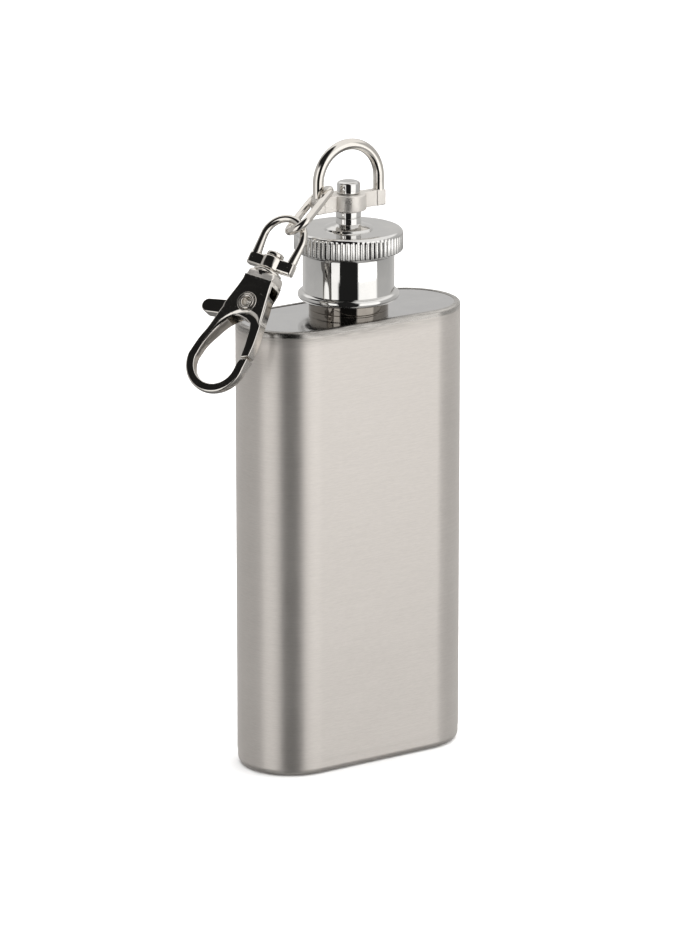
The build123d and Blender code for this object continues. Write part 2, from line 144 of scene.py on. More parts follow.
def bump(tree, height, strength, distance, normal=None):
    """A normal bent by the height, on top of another normal if one is given."""
    node = tree.nodes.new("ShaderNodeBump")
    node.inputs["Strength"].default_value = strength
    node.inputs["Distance"].default_value = distance
    link(tree, height, node.inputs["Height"])
    if normal is not None:
        link(tree, normal, node.inputs["Normal"])
    return node.outputs["Normal"]


def tinted(tree, value, dark, light):
    """A colour that runs from dark to light with the value."""
    ramp = tree.nodes.new("ShaderNodeValToRGB")
    ramp.color_ramp.elements[0].color = (*dark, 1)
    ramp.color_ramp.elements[1].color = (*light, 1)
    ramp.color_ramp.elements[0].position = 0.25
    ramp.color_ramp.elements[1].position = 0.75
    link(tree, value, ramp.inputs["Fac"])
    return ramp.outputs["Color"]


def object_coords(tree):
    """Object coordinates, which are the frame's own metres."""
    return tree.nodes.new("ShaderNodeTexCoord").outputs["Object"]


# the hand-dressed patch near the rim, with painted shade: its slanted scratches are real, its darkening is a
# painted dark reflection of the rolled rim. In metres: from its lower end to the rim, and from full at the
# left to faint
PAINTED_SHADE_LOW, PAINTED_SHADE_HIGH = 0.0802, 0.0832
PAINTED_SHADE_FULL, PAINTED_SHADE_FAINT = -0.004, 0.018
# the colour of the painted shade near the rim
PAINTED_SHADE_COLOUR = (0.20, 0.19, 0.18, 1)
# slanted marks of the hand dressing lean by this many degrees
SCRATCH_SLANT = 24.0


def scratches_and_painted_shade(tree, coords, colour):
    """Darkens a colour near the top edge with slanted scratch marks, which fade downwards and to the right:
    painted shade for the dark reflection on the rolled rim, over real scratches.
    """
    place = tree.nodes.new("ShaderNodeSeparateXYZ")
    link(tree, coords, place.inputs[0])
    near_edge = remap(tree, place.outputs["Z"], PAINTED_SHADE_LOW, PAINTED_SHADE_HIGH, 0.0, 1.0)
    to_left = remap(tree, place.outputs["X"], PAINTED_SHADE_FULL, PAINTED_SHADE_FAINT, 1.0, 0.15)
    marks = noise(tree, coords, 1100, (0.25, 0.25, 3.0), (0.0, radians(SCRATCH_SLANT), 0.0), detail=3)
    amount = math_node(tree, "MULTIPLY", near_edge, to_left)
    amount = math_node(tree, "MULTIPLY", amount, remap(tree, marks, 0.35, 0.65, 0.3, 0.95))
    mix = tree.nodes.new("ShaderNodeMixRGB")
    # painted shade: the dark colour mixed in near the rim
    mix.inputs["Color2"].default_value = PAINTED_SHADE_COLOUR
    link(tree, amount, mix.inputs["Fac"])
    link(tree, colour, mix.inputs["Color1"])
    return mix.outputs["Color"]


def brushed(name, dark, light, rough, grain, anisotropy, slant=0.0, metal=1.0):
    """Steel brushed along the horizontal: a short fine grain, soft streaks and faint stains."""
    mat, tree, shader = new_material(name)
    coords = object_coords(tree)
    turn = (0.0, radians(slant), 0.0)
    fine = noise(tree, coords, 1500, (0.7, 0.7, 4.5), turn, detail=4)
    lines = noise(tree, coords, 900, (0.10, 0.10, 5.0), turn, detail=3)
    cloud = noise(tree, coords, 70, (0.7, 0.7, 1.0), detail=3)
    tone = math_node(tree, "MULTIPLY", fine, 0.45)
    tone = math_node(tree, "ADD", tone, math_node(tree, "MULTIPLY", lines, 0.25))
    tone = math_node(tree, "ADD", tone, math_node(tree, "MULTIPLY", cloud, 0.3))
    # painted shade: a darker band with slanted scratches near the rim, standing in for a dark reflection
    link(tree, scratches_and_painted_shade(tree, coords, tinted(tree, tone, dark, light)), shader.inputs["Base Color"])
    link(tree, remap(tree, tone, 0.35, 0.65, rough - 0.04, rough + 0.05), shader.inputs["Roughness"])
    normal = bump(tree, fine, grain, 0.000015)
    normal = bump(tree, lines, grain * 0.5, 0.00002, normal)
    link(tree, normal, shader.inputs["Normal"])
    shader.inputs["Metallic"].default_value = metal
    shader.inputs["Anisotropic"].default_value = anisotropy
    shader.inputs["Anisotropic Rotation"].default_value = 0.25
    tangent = tree.nodes.new("ShaderNodeTangent")
    tangent.direction_type = "RADIAL"
    tangent.axis = "Z"
    link(tree, tangent.outputs["Tangent"], shader.inputs["Tangent"])
    return mat


def plated(name, dark, light, rough, wave=0.12, speck=0.0, metal=1.0):
    """Bright plating over a turned, drawn or cast surface, a little uneven and smudged."""
    mat, tree, shader = new_material(name)
    coords = object_coords(tree)
    smudge = noise(tree, coords, 240, detail=4)
    link(tree, tinted(tree, smudge, dark, light), shader.inputs["Base Color"])
    link(tree, remap(tree, smudge, 0.35, 0.7, rough * 0.7, rough * 1.5), shader.inputs["Roughness"])
    slow = noise(tree, coords, 130, detail=1.5)
    normal = bump(tree, slow, wave, 0.00012)
    if speck:
        grit = noise(tree, coords, 2600, detail=2)
        normal = bump(tree, remap(tree, grit, 0.58, 0.7, 0.0, 1.0), speck, 0.00002, normal)
    link(tree, normal, shader.inputs["Normal"])
    shader.inputs["Metallic"].default_value = metal
    return mat


def moulded(name, dark, light, rough, grain):
    """Rubber or moulded plastic with a fine matte texture."""
    mat, tree, shader = new_material(name)
    coords = object_coords(tree)
    cloud = noise(tree, coords, 500, detail=4)
    link(tree, tinted(tree, cloud, dark, light), shader.inputs["Base Color"])
    link(tree, remap(tree, cloud, 0.3, 0.7, rough - 0.06, rough + 0.06), shader.inputs["Roughness"])
    link(tree, bump(tree, noise(tree, coords, 4000, detail=2), grain, 0.00002), shader.inputs["Normal"])
    return mat


satin = brushed("satin_steel", (0.58, 0.55, 0.52), (0.74, 0.705, 0.67), 0.37, 0.30, 0.3, metal=0.85)
rim_steel = brushed("rim_steel", (0.36, 0.35, 0.335), (0.72, 0.70, 0.67), 0.26, 0.9, 0.5, SCRATCH_SLANT)
plate_steel = plated("plate_steel", (0.66, 0.66, 0.665), (0.72, 0.72, 0.72), 0.10, 0.03)
chrome = plated("chrome", (0.72, 0.72, 0.715), (0.82, 0.815, 0.80), 0.045, 0.14, 0.02)
# painted shade: the neck's steel is the same bright plating as the chrome, coloured dark for the shade and
# dark reflections under the cap's bead
neck_steel_painted_shade = plated("neck_steel_painted_shade", (0.22, 0.20, 0.18), (0.36, 0.335, 0.30), 0.06, 0.14, 0.02)
nickel = plated("nickel", (0.72, 0.69, 0.65), (0.84, 0.81, 0.765), 0.11, 0.16, 0.08)
nickel_face = plated("nickel_face", (0.66, 0.64, 0.61), (0.80, 0.77, 0.73), 0.08, 0.03, 0.25)
knurl_chrome = plated("knurl_chrome", (0.80, 0.80, 0.79), (0.90, 0.895, 0.88), 0.20, 0.1, 0.02)
nickel_cast = plated("nickel_cast", (0.70, 0.67, 0.63), (0.84, 0.81, 0.77), 0.34, 0.45, 0.6, 0.8)
spring_steel = plated("spring_steel", (0.30, 0.29, 0.28), (0.45, 0.44, 0.42), 0.22, 0.1)
black_plastic = moulded("black_plastic", (0.012, 0.012, 0.012), (0.03, 0.03, 0.03), 0.5, 0.3)
seal_rubber = moulded("seal_rubber", (0.62, 0.62, 0.60), (0.75, 0.75, 0.72), 0.55, 0.3)

# ---------------------------------------------------------------- mesh making


# edges sharper than this many degrees stay sharp
SHARP = 38


def mesh_object(name, verts, faces, materials, sharp=SHARP, face_materials=None):
    """A mesh object from millimetre vertices, with outward normals and smooth shading."""
    mesh = bpy.data.meshes.new(name)
    mesh.from_pydata([tuple(v) for v in verts], [], faces)
    if face_materials:
        mesh.polygons.foreach_set("material_index", face_materials)
    for mat in materials:
        mesh.materials.append(mat)
    work = bmesh.new()
    work.from_mesh(mesh)
    bmesh.ops.remove_doubles(work, verts=work.verts, dist=1e-4)
    bmesh.ops.recalc_face_normals(work, faces=work.faces)
    work.to_mesh(mesh)
    work.free()
    mesh.transform(Matrix.Scale(MM, 4))
    mesh.shade_smooth()
    mesh.set_sharp_from_angle(angle=radians(sharp))
    obj = bpy.data.objects.new(name, mesh)
    bpy.context.scene.collection.objects.link(obj)
    return obj


# two directions closer than this cosine count as the same
LEVEL = cos(radians(0.4))


def settle(obj, body, node, flats=()):
    """The finished piece rides on its body and stands for its CAD node.

    Faces along any of the directions in flats are shaded flat.
    """
    weigh = obj.modifiers.new("weigh", "WEIGHTED_NORMAL")
    weigh.keep_sharp = True
    bpy.context.view_layer.update()
    graph = bpy.context.evaluated_depsgraph_get()
    mesh = bpy.data.meshes.new_from_object(obj.evaluated_get(graph))
    obj.modifiers.clear()
    obj.data = mesh
    for polygon in mesh.polygons:
        if any(polygon.normal.dot(normal) > LEVEL for normal in flats):
            polygon.use_smooth = False
    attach(obj, body)
    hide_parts(node)
    return obj


def rounded(points, closed=True, steps=5):
    """Points (a, b) or (a, b, radius): each corner with a radius becomes an arc."""
    out = []
    count = len(points)
    for i, point in enumerate(points):
        here = Vector(point[:2])
        radius = point[2] if len(point) > 2 else 0
        if radius <= 0 or (not closed and i in (0, count - 1)):
            out.append(tuple(here))
            continue
        before = Vector(points[i - 1][:2]) - here
        after = Vector(points[(i + 1) % count][:2]) - here
        u, v = before.normalized(), after.normalized()
        half = acos(max(-1, min(1, u.dot(v)))) / 2
        reach = min(radius / tan(half), before.length * 0.499, after.length * 0.499)
        true_radius = reach * tan(half)
        centre = here + (u + v).normalized() * (true_radius / sin(half))
        start, end = here + u * reach - centre, here + v * reach - centre
        turn = atan2(start.x * end.y - start.y * end.x, start.dot(end))
        for k in range(steps + 1):
            a = turn * k / steps
            out.append((
                centre.x + start.x * cos(a) - start.y * sin(a),
                centre.y + start.x * sin(a) + start.y * cos(a),
            ))
    return out


def skin(rings, closed_profile, closed_rings):
    """Quads between rings of equal length. closed_rings joins the last ring to the first."""
    count = len(rings[0])
    verts = [v for ring in rings for v in ring]
    faces = []
    last = len(rings) if closed_rings else len(rings) - 1
    for i in range(last):
        a, b = i * count, ((i + 1) % len(rings)) * count
        for k in range(count if closed_profile else count - 1):
            n = (k + 1) % count
            faces.append((a + k, a + n, b + n, b + k))
    return verts, faces


# a turned solid's profile starts this close to its axis
AXIS = 0.001


def turned(name, profile, materials, axes=upright, segments=160, steps=5, sharp=SHARP):
    """A closed profile of (radius, height[, corner radius]) turned about the frame's Z."""
    outline = rounded(profile, steps=steps)
    rings = []
    for i in range(segments):
        a = 2 * pi * i / segments
        rings.append([axes.at(r * cos(a), r * sin(a), h) for r, h in outline])
    verts, faces = skin(rings, True, True)
    return mesh_object(name, verts, faces, materials, sharp)


def stadium(width, depth, arc_steps):
    """Points round a flat-sided oval, width along X."""
    radius = depth / 2
    reach = width / 2 - radius
    points = []
    for side in (1, -1):
        for k in range(arc_steps + 1):
            a = -pi / 2 + pi * k / arc_steps
            points.append((side * (reach + radius * cos(a)), side * radius * sin(a)))
    return points


def oval_turned(name, profile, width, depth, materials, split=None, closed=True, steps=8, arc_steps=72):
    """A profile of (inset, height[, corner radius]) carried round the flat-sided oval."""
    outline = rounded(profile, closed, steps)
    rings = []
    for inset, height in outline:
        ring = stadium(width - 2 * inset, depth - 2 * inset, arc_steps)
        rings.append([Vector((x, y, height)) for x, y in ring])
    verts, faces = skin(rings, True, closed)
    marks = None
    if split is not None:
        marks = [1 if min(verts[i].z for i in f) >= split - 1e-6 else 0 for f in faces]
    return mesh_object(name, verts, faces, materials, SHARP, marks)


def tube(name, path, radius, materials, normal, closed=False, segments=28):
    """A round wire along a flat path, its radius one number or one for each point."""
    side = Vector(normal).normalized()
    points = [Vector(p) for p in path]
    radii = radius if isinstance(radius, list) else [radius] * len(points)
    rings = []
    for i, p in enumerate(points):
        if closed:
            run = points[(i + 1) % len(points)] - points[i - 1]
        else:
            run = points[min(i + 1, len(points) - 1)] - points[max(i - 1, 0)]
        out = run.normalized().cross(side).normalized()
        rings.append([
            p + (out * cos(2 * pi * k / segments) + side * sin(2 * pi * k / segments)) * radii[i]
            for k in range(segments)
        ])
    verts, faces = skin(rings, True, closed)
    if not closed:
        faces.append(tuple(range(segments)))
        faces.append(tuple(range(len(verts) - segments, len(verts))))
    return mesh_object(name, verts, faces, materials)


def block(name, axes, low, high, round_edge, materials, steps=4):
    """A box with rounded edges between two corners in the frame."""
    work = bmesh.new()
    bmesh.ops.create_cube(work, size=1)
    for v in work.verts:
        v.co = Vector([low[i] if v.co[i] < 0 else high[i] for i in range(3)])
    bmesh.ops.bevel(
        work, geom=list(work.edges), offset=round_edge, segments=steps, profile=0.5, affect="EDGES"
    )
    verts = [axes.at(*v.co) for v in work.verts]
    faces = [[v.index for v in f.verts] for f in work.faces]
    work.free()
    return mesh_object(name, verts, faces, materials)


def combine(base, others, operation):
    """Joins or cuts solids, and returns the base with the result as its mesh."""
    for i, other in enumerate(others):
        step = base.modifiers.new(f"cut{i}", "BOOLEAN")
        step.operation = operation
        step.solver = "EXACT"
        step.object = other
    bpy.context.view_layer.update()
    graph = bpy.context.evaluated_depsgraph_get()
    mesh = bpy.data.meshes.new_from_object(base.evaluated_get(graph))
    base.modifiers.clear()
    base.data = mesh
    for other in others:
        bpy.data.objects.remove(other)
    mesh.shade_smooth()
    mesh.set_sharp_from_angle(angle=radians(SHARP))
    return base


def smooth(t):
    """Eases from 0 to 1."""
    t = max(0.0, min(1.0, t))
    return t * t * (3 - 2 * t)


def slab(name, outline, axes, half_at, front_edge, back_edge, materials, draw=None, steps=6):
    """A plate cut to a flat outline. Its half thickness and edge rounds may vary from place to place.

    draw(point) says how far the outline draws in to the left at the back.
    """
    count = len(outline)
    points = [Vector(p) for p in outline]
    area = sum(points[i - 1].x * points[i].y - points[i].x * points[i - 1].y for i in range(count))
    turn = 1 if area > 0 else -1
    normals = []
    for i in range(count):
        run = (points[(i + 1) % count] - points[i - 1]).normalized()
        normals.append(Vector((run.y, -run.x)) * turn)
    rings = []
    for side, edge_at in ((1, front_edge), (-1, back_edge)):
        for k in range(steps + 1):
            a = (pi / 2) * (1 - k / steps if side > 0 else k / steps)
            ring = []
            for p, n in zip(points, normals):
                radius = edge_at(p)
                q = p - n * radius * (1 - cos(a))
                half = half_at(q.y)
                z = side * (half - radius * (1 - sin(a)))
                if draw:
                    q = q - Vector((draw(p) * (half - z) / (2 * half), 0))
                ring.append((q, z))
            rings.append(ring)
    verts, faces = skin([[axes.at(q.x, q.y, z) for q, z in ring] for ring in rings], True, False)
    shift = len(verts) - count
    for ring, offset, order in ((rings[0], 0, (0, 1, 2)), (rings[-1], shift, (0, 2, 1))):
        flat = [Vector((q.x, q.y, 0)) for q, z in ring]
        for triangle in tessellate_polygon([flat]):
            faces.append(tuple(offset + triangle[k] for k in order))
    return mesh_object(name, verts, faces, materials)


def curve_points(points, steps=10):
    """A smooth line through the points, chord-length Catmull-Rom."""
    pts = [Vector(p) for p in points]
    pts = [pts[0] * 2 - pts[1]] + pts + [pts[-1] * 2 - pts[-2]]
    out = []
    for i in range(1, len(pts) - 2):
        p0, p1, p2, p3 = pts[i - 1:i + 3]
        t0 = 0
        t1 = (p1 - p0).length ** 0.5
        t2 = t1 + (p2 - p1).length ** 0.5
        t3 = t2 + (p3 - p2).length ** 0.5
        for k in range(steps):
            t = t1 + (t2 - t1) * k / steps
            a1 = p0 * ((t1 - t) / (t1 - t0)) + p1 * ((t - t0) / (t1 - t0))
            a2 = p1 * ((t2 - t) / (t2 - t1)) + p2 * ((t - t1) / (t2 - t1))
            a3 = p2 * ((t3 - t) / (t3 - t2)) + p3 * ((t - t2) / (t3 - t2))
            b1 = a1 * ((t2 - t) / (t2 - t0)) + a2 * ((t - t0) / (t2 - t0))
            b2 = a2 * ((t3 - t) / (t3 - t1)) + a3 * ((t - t1) / (t3 - t1))
            out.append(b1 * ((t2 - t) / (t2 - t1)) + b2 * ((t - t1) / (t2 - t1)))
    out.append(pts[-2])
    return out


def arc(centre, radius, start, end, steps):
    """Points on a circle, angles in degrees."""
    return [
        Vector((
            centre[0] + radius * cos(radians(start + (end - start) * k / steps)),
            centre[1] + radius * sin(radians(start + (end - start) * k / steps)),
        ))
        for k in range(steps + 1)
    ]


# ---------------------------------------------------------------- flask
WIDTH, DEPTH, WALL = 45.0, 20.0, 0.6
RIM, ROLL, LIP, PLATE = 83.15, 1.0, 1.1, 83.05
BASE, BASE_ROUND, BASE_INSET = 2.6, 2.5, 0.08
FLANGE_HEIGHT, BURR = 1.2, 0.04
COLLAR_BORE, COLLAR_R, COLLAR_TOP = 6.0, 7.2, 83.65

flask_wall = oval_turned(
    "flask_wall",
    [
        (0, BASE, BURR), (0, RIM - ROLL), (0, RIM, ROLL), (LIP, RIM, BURR), (LIP, RIM - WALL),
        (WALL, RIM - WALL), (WALL, BASE),
    ],
    WIDTH, DEPTH, [satin, rim_steel], RIM - ROLL,
)
settle(flask_wall, "flask", "body_shell")

flask_base = oval_turned(
    "flask_base",
    [
        (DEPTH / 2, 0), (BASE_INSET, 0, BASE_ROUND), (BASE_INSET, BASE, BURR), (WALL, BASE),
        (WALL, BASE + FLANGE_HEIGHT), (2 * WALL, BASE + FLANGE_HEIGHT),
        (2 * WALL, WALL, BASE_ROUND - WALL), (DEPTH / 2, WALL),
    ],
    WIDTH, DEPTH, [satin], closed=False, steps=14,
)
settle(flask_base, "flask", "bottom_plate")

# painted shade: the neck ring takes the darkened neck steel
collar = turned(
    "neck_ring",
    [(COLLAR_BORE, PLATE), (COLLAR_R, PLATE), (COLLAR_R, COLLAR_TOP, 0.12), (COLLAR_BORE, COLLAR_TOP)],
    [neck_steel_painted_shade],
)
settle(collar, "flask", "neck_collar")

# spout: a flange under the top plate, a plain neck up to its shoulder, then the threaded mouth
SHOULDER, NECK_TOP, ROOT, BORE = 85.4, 93.4, 5.75, 4.8
SPOUT_FOOT, FLANGE_LOW, FLANGE_HIGH, FLANGE_R = 81.45, 81.75, 82.45, 7.5
THREAD_CREST, THREAD_START, THREAD_TURNS, THREAD_PITCH = 6.4, 86.9, 2.75, 2.0
THREAD_WIDE, THREAD_NARROW = 1.0, 0.5


def helix_tooth(name, foot, crest, start, turns, pitch, wide, narrow, materials):
    """A thread tooth, run out to nothing over its first and last quarter turn."""
    steps = int(turns * 72)
    rings = []
    for i in range(steps + 1):
        a = 2 * pi * turns * i / steps
        ease = min(1.0, min(i, steps - i) / 18)
        top = foot + (crest - foot) * ease
        h = start + pitch * a / (2 * pi)
        section = [(foot, -wide / 2), (top, -narrow / 2), (top, narrow / 2), (foot, wide / 2)]
        rings.append([Vector((r * cos(a), r * sin(a), h + dz)) for r, dz in section])
    verts, faces = skin(rings, True, False)
    faces.append((0, 1, 2, 3))
    faces.append(tuple(range(len(verts) - 4, len(verts))))
    return mesh_object(name, verts, faces, materials, 50)


spout = turned(
    "spout",
    [
        (BORE, SPOUT_FOOT), (COLLAR_BORE, SPOUT_FOOT), (FLANGE_R, FLANGE_LOW), (FLANGE_R, FLANGE_HIGH),
        (COLLAR_BORE, FLANGE_HIGH), (COLLAR_BORE, COLLAR_TOP), (COLLAR_R - 0.1, COLLAR_TOP),
        (COLLAR_R, COLLAR_TOP + 0.1), (COLLAR_R, SHOULDER, 0.18), (ROOT, SHOULDER, 0.1),
        (ROOT, NECK_TOP, 0.25), (BORE, NECK_TOP, 0.2),
    ],
    [neck_steel_painted_shade, chrome],
)
tooth = helix_tooth(
    "tooth", ROOT - 0.15, THREAD_CREST, THREAD_START, THREAD_TURNS, THREAD_PITCH,
    THREAD_WIDE, THREAD_NARROW, [neck_steel_painted_shade],
)
combine(spout, [tooth], "UNION")
# painted shade: the spout below its shoulder takes the darkened neck steel, and the threaded mouth the
# bright chrome
for polygon in spout.data.polygons:
    polygon.material_index = 1 if polygon.center.z > (SHOULDER + 0.3) * MM else 0
settle(spout, "flask", "neck_spout")

# ---------------------------------------------------------------- cap
CAP_TOP, KNURL_FOOT, SKIRT, BEAD_Z, BEAD_R, BEAD_T = 98.3, 94.4, 8.3, 86.2, 8.45, 0.75
KNURL_R, RIBS, RIB_DEPTH, SHELL, FLARE = 9.88, 72, 0.19, 0.45, 0.7
CROWN, POST_BORE = 0.85, 1.42
RIB_STEPS = 10


def rib_cut(a):
    """How deep the grip is cut at an angle: round-bottomed grooves with narrow crowned ribs."""
    phase = (a * RIBS / (2 * pi)) % 1.0
    s = abs(phase - 0.5) * 2
    return RIB_DEPTH * (1 - s ** 1.7)


def cap_profile():
    """(radius, height, how much of the grip's grooving it takes)."""
    bead = []
    for k in range(19):
        a = radians(-210 + 15 * k)
        bead.append((BEAD_R + BEAD_T * cos(a), BEAD_Z + BEAD_T * sin(a), 0))
    grip = [
        (KNURL_R - 0.5, KNURL_FOOT, 0.0),
        (KNURL_R - 0.30, KNURL_FOOT + 0.04, 0.3), (KNURL_R - 0.1, KNURL_FOOT + 0.16, 0.8),
        (KNURL_R, KNURL_FOOT + 0.36, 1), (KNURL_R, CAP_TOP - CROWN - 0.1, 1),
    ]
    grip += [
        (
            KNURL_R - CROWN * (1 - cos(radians(9 * k))), CAP_TOP - CROWN * (1 - sin(radians(9 * k))),
            max(0.0, 1 - k / 4),
        )
        for k in range(11)
    ]
    grip += [
        (4.75, CAP_TOP, 0), (POST_BORE, CAP_TOP, 0), (POST_BORE, CAP_TOP - SHELL, 0),
        (KNURL_R - SHELL, CAP_TOP - SHELL, 0), (KNURL_R - SHELL, KNURL_FOOT + SHELL, 0),
        (SKIRT - SHELL, KNURL_FOOT + SHELL, 0),
    ]
    skirt = [(SKIRT, BEAD_Z + 0.78, 0), (SKIRT, BEAD_Z + 1.2, 0)]
    skirt += [
        (SKIRT + FLARE * (1 - cos(radians(15 * k))), KNURL_FOOT - FLARE * (1 - sin(radians(15 * k))), 0)
        for k in range(7)
    ]
    return bead + skirt + grip


rings = []
for i in range(RIBS * RIB_STEPS):
    a = 2 * pi * i / (RIBS * RIB_STEPS)
    rings.append([
        Vector(((r - rib_cut(a) * share) * cos(a), (r - rib_cut(a) * share) * sin(a), h))
        for r, h, share in cap_profile()
    ])
cap_shell = mesh_object("cap_shell_drawn", *skin(rings, True, True), [chrome, knurl_chrome], 50)
for polygon in cap_shell.data.polygons:
    spot = polygon.center / MM
    if KNURL_FOOT + 0.3 < spot.z < CAP_TOP - CROWN and hypot(spot.x, spot.y) > KNURL_R - 0.4:
        polygon.material_index = 1
settle(cap_shell, "cap", "cap_shell")

POST_R, POST_TOP, SPACER_TOP = 2.3, 100.4, 101.6
dome = turned(
    "cap_dome",
    [
        (POST_BORE, CAP_TOP), (4.6, CAP_TOP), (4.35, 98.62, 0.3), (3.3, 99.0, 0.8), (POST_R, 99.25, 0.25),
        (POST_R, POST_TOP, 0.12), (POST_BORE, POST_TOP),
    ],
    [chrome], segments=120,
)
settle(dome, "cap", "swivel_base")
spacer = turned(
    "post_ring",
    [(POST_BORE, POST_TOP), (POST_R, POST_TOP, 0.12), (POST_R, SPACER_TOP, 0.12), (POST_BORE, SPACER_TOP)],
    [chrome], segments=96,
)
settle(spacer, "cap", "swivel_spacer")
# rivet: a head inside the cap, a shank up through the post, and a domed button on top
RIVET_FOOT, RIVET_HEAD, RIVET_R, SHANK_R = 95.0, 95.8, 2.4, 1.4
BUTTON, BUTTON_EDGE, BUTTON_TOP, BUTTON_R = 104.9, 106.75, 107.0, 2.1
rivet = turned(
    "post_rivet",
    [
        (AXIS, RIVET_FOOT), (RIVET_R, RIVET_FOOT, 0.15), (RIVET_R, RIVET_HEAD, 0.1), (SHANK_R, RIVET_HEAD),
        (SHANK_R, BUTTON), (BUTTON_R, BUTTON, 0.1), (BUTTON_R, BUTTON_EDGE, 0.45),
        (1.5, BUTTON_TOP, 0.3), (AXIS, BUTTON_TOP),
    ],
    [chrome], segments=96,
)
settle(rivet, "cap", "swivel_rivet")

# ---------------------------------------------------------------- shackle
BOSS_LOW, BOSS_HIGH, LEG_X, BOW_Z, WIRE = 101.75, 104.75, 6.55, 107.15, 1.0
BOSS_R, BOSS_BORE, ARM_HALF, LEG_LOW = 3.25, 1.46, 0.85, 102.6
bow = [(-LEG_X, 0, LEG_LOW)]
bow += [(-LEG_X, 0, BOW_Z - 0.9 + 0.3 * k) for k in range(3)]
bow += [
    (LEG_X * cos(radians(180 - 3.6 * k)), 0, BOW_Z + LEG_X * sin(radians(180 - 3.6 * k)))
    for k in range(51)
]
bow += [(LEG_X, 0, BOW_Z - 0.3 - 0.3 * k) for k in range(3)] + [(LEG_X, 0, LEG_LOW)]
shackle = tube("shackle_bow", bow, WIRE, [nickel, nickel_cast], (0, 1, 0), segments=40)
extra = [
    block(
        name, upright, (x - WIRE, -WIRE, BOSS_LOW), (x + WIRE, WIRE, BOSS_HIGH), 0.28, [nickel]
    )
    for name, x in (("foot_a", -LEG_X), ("foot_b", LEG_X))
]
extra += [
    block(
        "arm", upright, (-LEG_X, -ARM_HALF, BOSS_LOW + 0.01), (LEG_X, ARM_HALF, BOSS_HIGH - 0.01),
        0.22, [nickel],
    ),
    turned(
        "boss",
        [(0.5, BOSS_LOW), (BOSS_R, BOSS_LOW, 0.25), (BOSS_R, BOSS_HIGH, 0.3), (0.5, BOSS_HIGH)],
        [nickel], segments=96,
    ),
]
combine(shackle, extra, "UNION")
shackle_bore = turned(
    "bore",
    [(AXIS, BOSS_LOW - 1), (BOSS_BORE, BOSS_LOW - 1), (BOSS_BORE, BOSS_HIGH + 1), (AXIS, BOSS_HIGH + 1)],
    [nickel], segments=64,
)
combine(shackle, [shackle_bore], "DIFFERENCE")
for polygon in shackle.data.polygons:
    polygon.material_index = 1 if polygon.center.z < (BOSS_HIGH + 0.02) * MM else 0
settle(shackle, "shackle", "shackle")

# ---------------------------------------------------------------- link
link_wire, link_half = 0.7, 2.5
link_high = Vector((-4.46, 0.92, 105.62))
link_low = face.at(1.79, -2.88, 1.06)
run = (link_low - link_high).normalized()
level = run.cross(Vector((0, 0, 1))).normalized()
across = Matrix.Rotation(radians(30), 3, run) @ level
middle = (link_low + link_high) / 2
straight = (link_low - link_high).length / 2 - link_half
path = []
for end, start_angle in ((1, -90), (-1, 90)):
    for k in range(41):
        a = radians(start_angle + 180 * k / 40)
        centre = middle + run * straight * end
        path.append(centre + run * link_half * cos(a) + across * link_half * sin(a))
oval = tube("oval_link_wire", path, link_wire, [nickel], run.cross(across), closed=True, segments=32)
settle(oval, "link", "oval_link")

# ---------------------------------------------------------------- clasp eye
EYE_OUT, EYE_W, ARM_W = 4.65, 0.7, 0.92
BAR_TOP, BAR_LOW, BAR_HALF, BAR_BOSS, PIN_BORE = -8.5, -10.9, 0.9, 1.95, 1.16
eye_y = -EYE_OUT
ARM_STEPS = 8


def eye_arm(side):
    """Centre-line points and radii of one arm, from the bow down to the crossbar."""
    points, radii = [], []
    for k in range(1, ARM_STEPS + 1):
        radius = EYE_W + (ARM_W - EYE_W) * smooth(k / ARM_STEPS)
        points.append(face.at(side * (EYE_OUT - radius), eye_y - (9.6 - EYE_OUT) * k / ARM_STEPS, 0))
        radii.append(radius)
    return points, radii


left_points, left_radii = eye_arm(-1)
right_points, right_radii = eye_arm(1)
eye_bend = EYE_OUT - EYE_W
bow = [
    face.at(eye_bend * cos(radians(180 - 3 * k)), eye_y + eye_bend * sin(radians(180 - 3 * k)), 0)
    for k in range(61)
]
eye = tube(
    "clasp_eye_bow",
    left_points[::-1] + bow + right_points,
    left_radii[::-1] + [EYE_W] * len(bow) + right_radii,
    [nickel], face.z, segments=36,
)
combine(
    eye,
    [
        block("crossbar", face, (-EYE_OUT, BAR_LOW, -BAR_HALF), (EYE_OUT, BAR_TOP, BAR_HALF), 0.4, [nickel]),
        turned(
            "bar_boss",
            [(0.5, BAR_LOW), (BAR_BOSS, BAR_LOW, 0.2), (BAR_BOSS, BAR_TOP, 0.3), (0.5, BAR_TOP)],
            [nickel], stem, 96,
        ),
    ],
    "UNION",
)
pin_bore = turned(
    "pin_bore", [(AXIS, -12), (PIN_BORE, -12), (PIN_BORE, -7.5), (AXIS, -7.5)], [nickel], stem, 64
)
combine(eye, [pin_bore], "DIFFERENCE")
settle(eye, "eye", "clasp_eye", [face.z, -face.z])

HEAD_LOW, HEAD_TOP, HEAD_R, PIN_R, PIN_END = -8.35, -7.5, 1.6, 1.1, -13.8
pin = turned(
    "swivel_pin",
    [
        (AXIS, PIN_END), (PIN_R, PIN_END), (PIN_R, HEAD_LOW), (HEAD_R, HEAD_LOW, 0.08),
        (HEAD_R, HEAD_TOP, 0.5), (AXIS, HEAD_TOP),
    ],
    [nickel], stem, 96,
)
settle(pin, "clasp", "clasp_pin")

# ---------------------------------------------------------------- clasp hook
TOP_HALF, END_HALF, FACE_TOP, FACE_END = 2.2, 0.75, -13.2, -36.5
HOOK_C, HOOK_OUT, HOOK_IN = (-1.65, -29.95), 5.7, 4.1
HOOK_TIP, GATE_TIP = 10.6, 10.3
CHANNEL = 1.4


